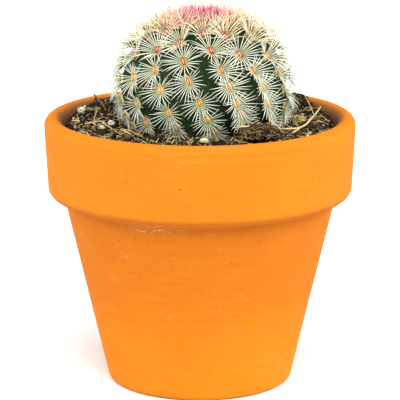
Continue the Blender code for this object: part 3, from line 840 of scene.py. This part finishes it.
def build_plant(spine, wool):
    """One piece of spines for each rib, the crown tuft and one piece of pads."""
    rng = np.random.default_rng(7)
    pads = []
    crown = []
    for rib in range(RIBS):
        parts = []
        for polar in areoles_of(rib):
            azimuth = rib_azimuth(rib, polar) + rng.normal(0.0, 0.5)
            seat = stem_frames(polar + rng.normal(0.0, 0.35), azimuth)
            redness = float(np.interp(polar, [20.0, 58.0, 85.0], [1.0, 0.90, 0.12]) + rng.normal(0.0, 0.08))
            redness = float(np.clip(redness, 0.0, 0.97))
            pads.append(pad_mesh(*seat, float(growth(polar)), redness, rng))
            target = crown if polar < CROWN_POLAR else parts
            target.append(radial_spines(*seat, polar, rng))
            target.append(central_spines(*seat, polar, rng))
            target.append(wool_hairs(*seat, polar, rng))
        name = f"{rib + 1:02d}"
        add_piece(f"spines_{name}", joined(parts), spine, "spine", f"spine_row_{name}")
    for azimuth in (20.0, 92.0, 164.0, 236.0, 308.0):
        crown.append(radial_spines(*stem_frames(3.6, azimuth), 4.0, rng))
    add_piece("crown_tuft", joined(crown), spine, "crown", "crown_spines")
    add_piece("areole_pads", joined(pads), wool, "spine")


# ------------------------ peat

# Pitch per metre, level and height of the waves of the loose surface.
RELIEF_WAVES = ((210.0, 0.0, 1.0), (520.0, 0.3, 0.60), (1300.0, 0.7, 0.30))

# Count, least and greatest radius in mm, range of kinds, flatness.
CRUMB_SORTS = ((1500, 0.3, 1.5, (0.0, 0.30), 0.8), (700, 0.25, 1.1, (0.28, 0.58), 0.6),
               (520, 0.2, 0.9, (0.55, 0.82), 0.6), (760, 0.14, 0.55, (0.80, 1.0), 0.6))

# Count, lengths and radii in mm, shades, curl, pitch.
FIBRE_SORTS = ((520, (1.6, 6.0), (0.05, 0.12), (0.45, 0.97), 1.6, 0.12),
               (130, (2.5, 7.0), (0.12, 0.26), (0.05, 0.75), 0.3, 0.30),
               (160, (4.0, 10.0), (0.05, 0.10), (0.55, 0.95), 3.2, 0.15))
FLAKES = 420


def soil_height(x, y):
    """The peat is mounded at the stem and banked up towards the back."""
    out = sqrt((x - STEM_X) ** 2 + y * y)
    mound = SOIL_MOUND * min(1.0, max(0.0, 1.0 - (out - STEM_RADIUS) / SOIL_MOUND_REACH))
    bank = SOIL_BANK * min(1.0, max(0.0, (y + SOIL_BANK_START) / SOIL_BANK_RUN)) ** SOIL_BANK_POWER
    return SOIL_EDGE_HEIGHT + mound + bank


def soil_relief(x, y):
    """Crumbs and hollows of the loose surface."""
    waves = [height * noise.noise(Vector((x, y, level)) * pitch) for pitch, level, height in RELIEF_WAVES]
    return sum(waves) * MM


def build_soil(look):
    """The peat: a socket round the buried foot, the loose surface and the wall of the pot."""
    segments = RIBS * 32
    share = 360.0 * np.arange(segments) / segments
    rows = [foot_ring(radius + 2.0 * AIR, height - AIR, segments) for radius, height in BURIED_FOOT[::-1]]
    for polar in (128.0, 124.0, 121.5):
        place, normal, _, _ = stem_frames(np.full(segments, polar), rib_azimuth(0, polar) + share)
        rows.append(place + normal * 0.1 * MM)
    inner = rows[-1]
    direction = np.arctan2(inner[:, 1], inner[:, 0])
    outward = np.column_stack([np.cos(direction), np.sin(direction)])
    edge = inner_wall_radius(SOIL_EDGE_HEIGHT)
    wall = [inner_wall_radius(soil_height(edge * cos(turn), edge * sin(turn))) - AIR for turn in direction]
    rim = np.array(wall)[:, None] * outward
    steps = 64
    for step in range(1, steps + 1):
        flat = inner[:, :2] + (rim - inner[:, :2]) * step / steps
        settle = min(1.0, step / 3.0) * min(1.0, (steps - step) / 2.0)
        heights = [soil_height(x, y) + soil_relief(x, y) * settle for x, y in flat]
        rows.append(np.column_stack([flat, heights]))
    rings = [(inner_wall_radius(height) - AIR, height) for height in
             (SOIL_EDGE_HEIGHT - 2.0 * MM, 45.0 * MM, FLOOR_THICKNESS + INNER_FOOT_ROUNDING + 2.0 * AIR)]
    rings.append((INNER_FOOT_RADIUS - INNER_FOOT_ROUNDING - AIR, FLOOR_THICKNESS + AIR))
    rows += [np.column_stack([radius * outward, np.full(segments, height)]) for radius, height in rings]
    top = np.array([STEM_X, 0.0, BURIED_FOOT[-1][1] - AIR])
    foot = np.array([0.0, 0.0, FLOOR_THICKNESS + AIR])
    skin = capped(top, [row[::-1] for row in rows], foot)
    add_piece("peat_bed", skin, look, "peat", "potting_soil")


def on_soil(rng, count, margin):
    """Random places on the peat between the stem and the wall."""
    places = []
    while len(places) < count:
        x, y = rng.uniform(-1.0, 1.0, 2) * inner_wall_radius(SOIL_EDGE_HEIGHT)
        if x * x + y * y > (inner_wall_radius(SOIL_EDGE_HEIGHT) - margin) ** 2:
            continue
        if (x - STEM_X) ** 2 + y * y < (24.2 * MM) ** 2:
            continue
        places.append((x, y, soil_height(x, y) + soil_relief(x, y)))
    return np.array(places)


def build_crumbs(look):
    rng = np.random.default_rng(11)
    parts = []
    for count, low, high, kinds, flat in CRUMB_SORTS:
        size = low + (high - low) * rng.uniform(0.0, 1.0, (count, 1)) ** 2
        spread = [np.ones(count), rng.uniform(0.55, 1.0, count), flat * rng.uniform(0.5, 1.0, count)]
        sizes = size * MM * np.stack(spread, 1)
        places = on_soil(rng, count, 1.2 * MM)
        places[:, 2] += size[:, 0] * MM * rng.uniform(0.1, 0.6, count)
        parts.append(lumps(rng, places, sizes, rng.uniform(*kinds, count), rng.uniform(0.0, 1.0, count)))
    add_piece("peat_crumbs", joined(parts), look, "peat")


def build_fibres(look):
    """Fine rootlets, moss threads and twigs that lie over the crumbs."""
    rng = np.random.default_rng(13)
    stations = 8
    parts = []
    for count, lengths, widths, shades, curl, pitch in FIBRE_SORTS:
        places = on_soil(rng, count, 3.0 * MM)
        heading = rng.uniform(0.0, 2.0 * pi, count)
        length = rng.uniform(*lengths, count) * MM
        bend = rng.normal(0.0, curl, count)
        share = np.linspace(-0.5, 0.5, stations)
        turn = heading[:, None] + bend[:, None] * share
        steps = np.stack([np.cos(turn), np.sin(turn)], axis=-1) * (length / (stations - 1))[:, None, None]
        flat = places[:, None, :2] + np.cumsum(steps, axis=1) - steps.sum(axis=1, keepdims=True) / 2.0
        wall = inner_wall_radius(SOIL_EDGE_HEIGHT) - 0.8 * MM
        flat = flat * np.minimum(1.0, wall / np.linalg.norm(flat, axis=2, keepdims=True))
        lift = rng.uniform(0.2, 1.1, (count, 1)) * MM
        arch = rng.uniform(-0.4, 1.0, (count, 1)) * MM * (1.0 - (2.0 * share) ** 2)
        slope = rng.normal(0.0, pitch, (count, 1)) * length[:, None] * share
        ground = np.array([[soil_height(x, y) + soil_relief(x, y) * 0.6 for x, y in path] for path in flat])
        paths = np.concatenate([flat, (ground + lift + arch + slope)[..., None]], axis=2)
        width = taper(rng.uniform(*widths, count) * MM, stations, 0.8)
        up = np.tile([0.0, 0.0, 1.0], (count, 1))
        parts.append(strands(paths, width, up, 5, rng.uniform(*shades, count)))
    add_piece("peat_fibres", joined(parts), look, "straw")


def build_flakes(look):
    """Angular flakes of bark and husk, tilted every way."""
    rng = np.random.default_rng(12)
    size = rng.uniform(0.4, 1.3, FLAKES)
    sizes = MM * np.stack([size, size * rng.uniform(0.3, 0.6, FLAKES), rng.uniform(0.12, 0.3, FLAKES)], 1)
    places = on_soil(rng, FLAKES, 2.0 * MM)
    places[:, 2] += size * MM * rng.uniform(0.15, 0.6, FLAKES)
    kinds, shades = rng.uniform(0.30, 0.93, FLAKES), rng.uniform(0.0, 1.0, FLAKES)
    piece = add_piece("bark_flakes", lumps(rng, places, sizes, kinds, shades, 1), look, "bark")
    piece.data.shade_flat()


# ------------------------ litter on the peat

# Points in mm, radius in mm, shade.
LOOSE_STALKS = (
    ([(27.3, 7.7, 92.0), (27.9, 0.3, 91.4), (29.3, -5.0, 90.9), (31.0, -8.8, 90.3)], 0.14, 0.95),
    ([(31.8, 4.4, 91.9), (32.6, -1.0, 91.2), (33.5, -5.7, 90.5)], 0.13, 0.80),
    ([(40.7, -8.8, 90.4), (40.8, -9.6, 89.5), (40.8, -10.0, 88.4)], 0.16, 0.97),
    ([(41.6, 9.6, 91.0), (43.0, 6.3, 90.6), (44.3, 3.4, 89.9)], 0.14, 0.72),
    ([(35.6, -16.4, 89.5), (36.6, -15.6, 90.0), (37.9, -14.4, 89.9)], 0.15, 0.85),
    ([(21.6, -24.9, 93.0), (21.0, -26.9, 92.4), (21.9, -27.6, 92.0), (23.8, -26.0, 91.6)], 0.17, 0.74),
    ([(22.3, -21.0, 94.6), (24.1, -20.4, 93.8), (26.2, -17.6, 91.8)], 0.18, 0.60),
    ([(-36.6, 0.3, 89.9), (-36.3, 5.6, 91.2), (-35.7, 8.7, 92.9)], 0.32, 0.52),
    ([(-27.1, -12.9, 90.6), (-25.6, -16.9, 90.8), (-24.0, -19.3, 90.7), (-22.8, -21.9, 90.7),
      (-21.7, -25.3, 90.0)], 0.20, 0.93),
    ([(-26.9, -11.4, 90.8), (-25.3, -15.9, 90.8), (-25.6, -18.6, 90.3)], 0.16, 0.93),
    ([(-44.3, 4.6, 89.9), (-42.3, 3.4, 90.3), (-40.3, 1.3, 90.1)], 0.34, 0.80),
    ([(-37.6, 29.2, 94.5), (-35.7, 23.1, 93.7), (-34.0, 16.7, 93.0), (-32.6, 12.0, 91.8)], 0.48, 0.04),
    ([(-39.4, -1.2, 89.9), (-37.0, -1.0, 90.5), (-34.2, 0.4, 90.6)], 0.26, 0.78),
    ([(-38.0, 2.4, 90.1), (-36.6, -1.4, 90.3), (-35.4, -4.6, 90.0)], 0.18, 0.90),
)
STRAW_PATHS = {
    "straw_1": ([(37.0, 26.7, 94.5), (38.5, 19.3, 92.6), (39.8, 11.3, 90.5)], 0.24, 0.74),
    "straw_2": ([(16.6, -25.8, 92.4), (19.1, -27.6, 91.8), (21.7, -27.8, 91.6), (23.8, -26.4, 91.4),
                 (24.4, -23.0, 91.2)], 0.20, 0.66),
    "straw_3": ([(12.9, -33.1, 90.2), (14.4, -30.0, 91.2), (16.0, -27.4, 92.0)], 0.15, 0.58),
    "straw_4": ([(29.9, 5.2, 92.5), (31.4, 1.0, 91.7), (32.3, -3.4, 91.0), (33.5, -7.3, 90.2)], 0.20, 0.78),
    "straw_5": ([(11.0, -27.0, 94.2), (13.8, -27.6, 94.6), (16.7, -27.2, 94.8)], 0.30, 0.93),
    "straw_6": ([(-34.7, 0.8, 90.9), (-32.7, -4.4, 90.8), (-30.6, -9.2, 90.5), (-26.7, -18.8, 90.1)],
                0.24, 0.66),
    "straw_7": ([(-27.2, -12.2, 90.9), (-22.9, -18.6, 90.9), (-19.2, -24.6, 90.6)], 0.21, 0.56),
}
FORK_PATHS = (
    ([(42.1, 14.0, 92.9), (39.1, 2.9, 92.0), (36.4, -5.7, 91.1), (34.7, -9.1, 90.7), (31.1, -16.1, 89.9)],
     0.33, 0.84),
    ([(34.9, -8.7, 90.8), (33.3, -10.9, 90.6), (29.9, -12.3, 90.7), (26.5, -12.7, 90.8)], 0.26, 0.88),
)

# Low and high corners in mm.
CLOD_BOXES = {"front": ((11.0, -33.0, 88.0), (27.8, -19.0, 95.2)),
              "back": ((29.4, 19.6, 89.6), (38.6, 34.4, 94.9))}

# Seed, count of crumbs and the brightest of them.
CLOD_CRUMBS = {"front": (21, 1100, 0.8), "back": (22, 420, 0.5)}

# Centre and half size in mm.
BARK_CHIPS = (((-36.4, 24.8, 92.6), (1.2, 1.5, 0.9)), ((-32.6, 18.6, 92.6), (1.3, 1.1, 1.3)),
              ((40.6, -8.6, 90.2), (1.7, 2.2, 0.7)))

# Centre and half size in mm, kind.
EXTRA_LUMPS = (
    ((-38.6, 17.2, 91.2), (1.6, 1.5, 1.1), "olive"), ((-35.6, 13.8, 91.6), (1.3, 1.2, 1.5), "olive"),
    ((-31.4, 21.6, 93.0), (1.6, 1.2, 1.6), "peat"), ((-29.6, 3.2, 90.8), (1.9, 1.6, 1.3), "peat"),
    ((-24.3, -23.0, 90.1), (2.2, 1.5, 1.3), "bark"), ((-34.6, -2.8, 90.0), (0.7, 0.6, 0.6), "perlite"),
    ((39.7, -3.4, 89.9), (0.9, 0.8, 1.1), "olive"), ((36.4, 13.6, 91.5), (0.9, 0.8, 0.8), "olive"),
    ((-40.3, 17.9, 92.3), (0.5, 0.4, 0.5), "perlite"), ((-37.4, -11.0, 89.3), (0.9, 0.7, 0.6), "olive"),
    ((10.0, -28.8, 90.0), (1.0, 0.8, 0.9), "bark"), ((-29.6, -16.4, 89.8), (1.0, 0.7, 0.6), "olive"),
    ((38.4, 22.4, 91.8), (2.0, 2.4, 1.6), "peat"), ((41.0, 16.8, 90.6), (1.6, 1.8, 1.2), "peat"),
    ((37.2, 12.6, 90.9), (1.8, 1.6, 1.3), "peat"), ((34.6, 18.4, 92.0), (1.6, 1.4, 1.5), "peat"),
)

# Pitch and share of the dents in a lump.
DENT_WAVES = ((1.3, 1.0), (3.1, 0.6), (7.0, 0.35))

# Middle and radii in mm of the tangle of threads.
TANGLE_CENTRE = (34.2, 0.6, 91.4)
TANGLE_RADII = (2.3, 3.6, 1.7)


def smooth_path(points, stations):
    """Catmull-Rom through given points in millimetres."""
    before, after = 2.0 * np.array(points[0]) - points[1], 2.0 * np.array(points[-1]) - points[-2]
    control = np.array([before, *points, after])
    path = []
    for share in np.linspace(0.0, len(points) - 1.0 - 1e-6, stations):
        i = int(share)
        t = share - i
        a, b, c, d = control[i:i + 4]
        curve = (2 * a - 5 * b + 4 * c - d) * t * t + (3 * b - a - 3 * c + d) * t ** 3
        path.append(0.5 * (2 * b + (c - a) * t + curve))
    return np.array(path) * MM


def stalk(points, radius, shade, rng, sides=10):
    """One straw: a slightly flattened stalk with nodes and a ragged thin end."""
    stations = 9 * len(points) - 8
    path = smooth_path(points, stations)
    wander = rng.normal(0.0, 0.03, (stations, 3)) * MM
    wander[0] = 0.0
    path += np.cumsum(wander, axis=0) - np.linspace(0.0, 1.0, stations)[:, None] * wander.sum(axis=0)
    share = np.linspace(0.0, 1.0, stations)
    width = radius * MM * (0.45 + 0.55 * np.sin(pi * np.minimum(1.0, 0.12 + share * 0.7)))
    width = width * (1.0 + 0.10 * np.sin(share * 21.0) + rng.normal(0.0, 0.04, stations))
    return strands(path[None], width[None], np.array([[0.0, 0.0, 1.0]]), sides, [shade], 0.75, 0.04)


def build_straws(look):
    rng = np.random.default_rng(17)
    for name, (points, radius, shade) in STRAW_PATHS.items():
        add_piece(f"{name}_stalk", stalk(points, radius, shade, rng), look, "straw", name)
    fork = [stalk(points, radius, shade, rng) for points, radius, shade in FORK_PATHS]
    add_piece("straw_forked_stalk", joined(fork), look, "straw", "straw_forked")
    loose = [stalk(points, radius, shade, rng, 6) for points, radius, shade in LOOSE_STALKS]
    add_piece("loose_stalks", joined(loose), look, "straw")


def box_about(centre, half):
    """Low and high corners in metres, from a centre and half size in mm."""
    centre, half = np.array(centre), np.array(half)
    return (centre - half) * MM, (centre + half) * MM


def build_lump(name, node, look, slot, seed, subdivisions, dents, plates=0.0, box=None):
    """A lump dented by noise that fills a box, its CAD node's own if none is given."""
    low, high = np.array(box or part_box(node))
    centre, half = (low + high) / 2.0, (high - low) / 2.0
    points, faces = ball(subdivisions)
    shift = Vector((seed * 5.1, seed * 2.3, seed * 3.7))
    shaped = []
    for point in points:
        spot = Vector(point)
        size = 1.0
        for pitch, share in DENT_WAVES:
            size += dents * share * noise.noise(spot * pitch + shift)
        size += plates * round(noise.noise(spot * 2.0 - shift) * 4.0) / 4.0
        shaped.append(np.array(point) * size)
    shaped = np.array(shaped)
    shaped = shaped / np.abs(shaped).max(axis=0) * half + centre
    add_piece(name, (shaped, faces.tolist()), look, slot, *([node] if node else []))


def build_litter(crumb):
    """The granules, grit, bark, clods and small lumps that lie on the peat."""
    perlite = mineral_look("perlite", (0.52, 0.48, 0.34), (0.88, 0.86, 0.76), (0.26, 0.24, 0.13), 520.0)
    grit = mineral_look("grit", (0.42, 0.44, 0.20), (0.74, 0.76, 0.48), (0.30, 0.28, 0.10), 500.0)
    olive = mineral_look("olive_grain", (0.09, 0.085, 0.025), (0.30, 0.27, 0.09), (0.05, 0.045, 0.015), 600.0)
    bark = bark_look()
    peat = peat_look()
    kinds = {"bark": (bark, "bark"), "perlite": (perlite, "perlite"), "olive": (olive, "grit"),
             "peat": (peat, "peat")}
    for number in (1, 2, 3):
        build_lump(f"perlite_{number}", f"perlite_granule_{number}", perlite, "perlite", number, 4, 0.5)
    build_lump("yellow_grit", "pale_grit", grit, "grit", 4, 4, 0.35)
    for number, (centre, half) in enumerate(BARK_CHIPS, start=1):
        box = box_about(centre, half)
        build_lump(f"bark_{number}", f"bark_chip_{number}", bark, "bark", 6 + number, 4, 0.5, 0.3, box)
    for side, corners in CLOD_BOXES.items():
        box = tuple(np.array(corner) * MM for corner in corners)
        seed, count, brightest = CLOD_CRUMBS[side]
        build_lump(f"clod_{side}", f"peat_clod_{side}", peat, "peat", seed, 5, 0.6, box=box)
        build_clod_crumbs(side, box, crumb, seed, count, brightest)
    for index, (centre, half, kind) in enumerate(EXTRA_LUMPS):
        name = f"{kind}_bit_{index + 1}"
        build_lump(name, None, *kinds[kind], 40 + index, 3, 0.6, 0.25, box_about(centre, half))


def upward(rng, count):
    """Random directions in the upper half."""
    direction = unit(rng.normal(size=(count, 3)))
    direction[:, 2] = np.abs(direction[:, 2])
    return direction


def build_clod_crumbs(side, box, look, seed, count, brightest):
    """Loose crumbs over a clod."""
    rng = np.random.default_rng(seed)
    low, high = box
    out = upward(rng, count) * rng.uniform(0.74, 0.96, (count, 1))
    places = (low + high) / 2.0 + out * (high - low) / 2.0
    sizes = rng.uniform(0.2, 0.8, (count, 1)) ** 1.3 * MM * rng.uniform(0.5, 1.0, (count, 3))
    kinds, shades = rng.uniform(0.0, 0.56, count), rng.uniform(0.0, brightest, count)
    add_piece(f"clod_{side}_crumbs", lumps(rng, places, sizes, kinds, shades), look, "peat")


def build_clod_rootlets(look):
    """Fine rootlets that bind the front clod and stand out of it."""
    rng = np.random.default_rng(23)
    low, high = (np.array(corner) * MM for corner in CLOD_BOXES["front"])
    centre, half = (low + high) / 2.0, (high - low) / 2.0
    count, stations = 150, 9
    direction = upward(rng, count)
    other = unit(rng.normal(size=(count, 3)))
    other = unit(other - direction * np.sum(other * direction, axis=1, keepdims=True))
    sweep = rng.uniform(0.25, 0.75, (count, 1)) * np.linspace(-0.5, 0.5, stations)
    curve = direction[:, None, :] * np.cos(sweep)[..., None] + other[:, None, :] * np.sin(sweep)[..., None]
    lift = 0.97 + rng.uniform(0.0, 0.16, (count, 1)) * np.linspace(0.0, 1.0, stations) ** 2
    paths = centre + curve * half * lift[..., None]
    width = taper(rng.uniform(0.05, 0.12, count) * MM, stations, 0.8)
    skin = strands(paths, width, direction, 5, rng.uniform(0.02, 0.62, count))
    add_piece("clod_rootlets", skin, look, "straw")


def build_fibre_tangle(look):
    """A tangle of tan threads between the stem and the forked straw."""
    rng = np.random.default_rng(19)
    count, stations = 46, 10
    axis = unit(rng.normal(size=(count, 3)))
    start = unit(np.cross(axis, rng.normal(size=(count, 3))))
    other = np.cross(axis, start)
    turn = np.linspace(0.0, 1.0, stations) * rng.uniform(1.5, 3.6, count)[:, None]
    ring = start[:, None, :] * np.cos(turn)[..., None] + other[:, None, :] * np.sin(turn)[..., None]
    radius = rng.uniform(0.6, 1.0, (count, 1, 1)) * np.array(TANGLE_RADII) * MM
    paths = np.array(TANGLE_CENTRE) * MM + ring * radius + rng.normal(0.0, 0.2, (count, 1, 3)) * MM
    width = taper(rng.uniform(0.08, 0.18, count) * MM, stations, 0.8)
    skin = strands(paths, width, axis, 5, rng.uniform(0.3, 0.85, count))
    add_piece("fibre_tangle", skin, look, "straw")


# ------------------------ stage

# Azimuth from the front and elevation in degrees, spread in degrees and strength of each light.
LIGHTS = {"key": (4.0, 50.0, 30.0, 2.50), "left": (-75.0, 34.0, 40.0, 1.35),
          "right": (75.0, 34.0, 40.0, 1.75), "rim_left": (-120.0, 15.0, 40.0, 0.7),
          "rim_right": (108.0, 10.0, 40.0, 1.2)}
WORLD_STRENGTH = 0.46
FLOOR_REACH = 6.0
CAMERA_AIM = Vector((0.0, 0.0, 62.88 * MM))
CAMERA_DISTANCE = 891.6 * MM
CAMERA_ELEVATION = 13.516
FIELD_OF_VIEW = 8.885


def from_front(azimuth, elevation):
    """The direction of a place that is so many degrees round from the front and above level."""
    turn, rise = radians(azimuth), radians(elevation)
    return Vector((sin(turn) * cos(rise), -cos(turn) * cos(rise), sin(rise)))


def stand(name, data, place, aim):
    """A light or a camera at a place, looking at its aim."""
    thing = bpy.data.objects.new(name, data)
    thing.location = place
    thing.rotation_euler = (aim - place).to_track_quat("-Z", "Y").to_euler()
    bpy.context.scene.collection.objects.link(thing)
    return thing


def build_floor():
    reach = FLOOR_REACH
    mesh = bpy.data.meshes.new("floor")
    corners = [(-reach, -reach, 0.0), (reach, -reach, 0.0), (reach, reach, 0.0), (-reach, reach, 0.0)]
    mesh.from_pydata(corners, [], [(0, 1, 2, 3)])
    mesh.materials.append(floor_look())
    floor = bpy.data.objects.new("floor", mesh)
    bpy.context.scene.collection.objects.link(floor)


def build_lights():
    """A white world and soft lights all round."""
    world = bpy.data.worlds.new("studio")
    bpy.context.scene.world = world
    world.use_nodes = True
    background = world.node_tree.nodes["Background"]
    background.inputs["Color"].default_value = (1.0, 1.0, 1.0, 1.0)
    background.inputs["Strength"].default_value = WORLD_STRENGTH
    for name, (azimuth, elevation, spread, strength) in LIGHTS.items():
        light = bpy.data.lights.new(name, "SUN")
        light.energy = strength
        light.angle = radians(spread)
        stand(name, light, from_front(azimuth, elevation), Vector())


def build_camera():
    camera = bpy.data.cameras.new("camera")
    camera.sensor_width = 36.0
    camera.lens = camera.sensor_width / 2.0 / tan(radians(FIELD_OF_VIEW) / 2.0)
    camera.clip_start = 0.01
    camera.clip_end = 100.0
    place = CAMERA_AIM + CAMERA_DISTANCE * from_front(0.0, CAMERA_ELEVATION)
    bpy.context.scene.camera = stand("camera", camera, place, CAMERA_AIM)
    bpy.context.scene.view_settings.view_transform = "Standard"


def main():
    build_floor()
    build_lights()
    build_camera()
    build_pot(terracotta_look())
    build_stem(flesh_look())
    build_plant(spine_look(), wool_look())
    build_soil(peat_look())
    crumb = crumb_look()
    build_crumbs(crumb)
    straw = straw_look()
    build_fibres(straw)
    build_straws(straw)
    build_litter(crumb)
    build_flakes(crumb)
    build_fibre_tangle(straw)
    build_clod_rootlets(straw)


main()
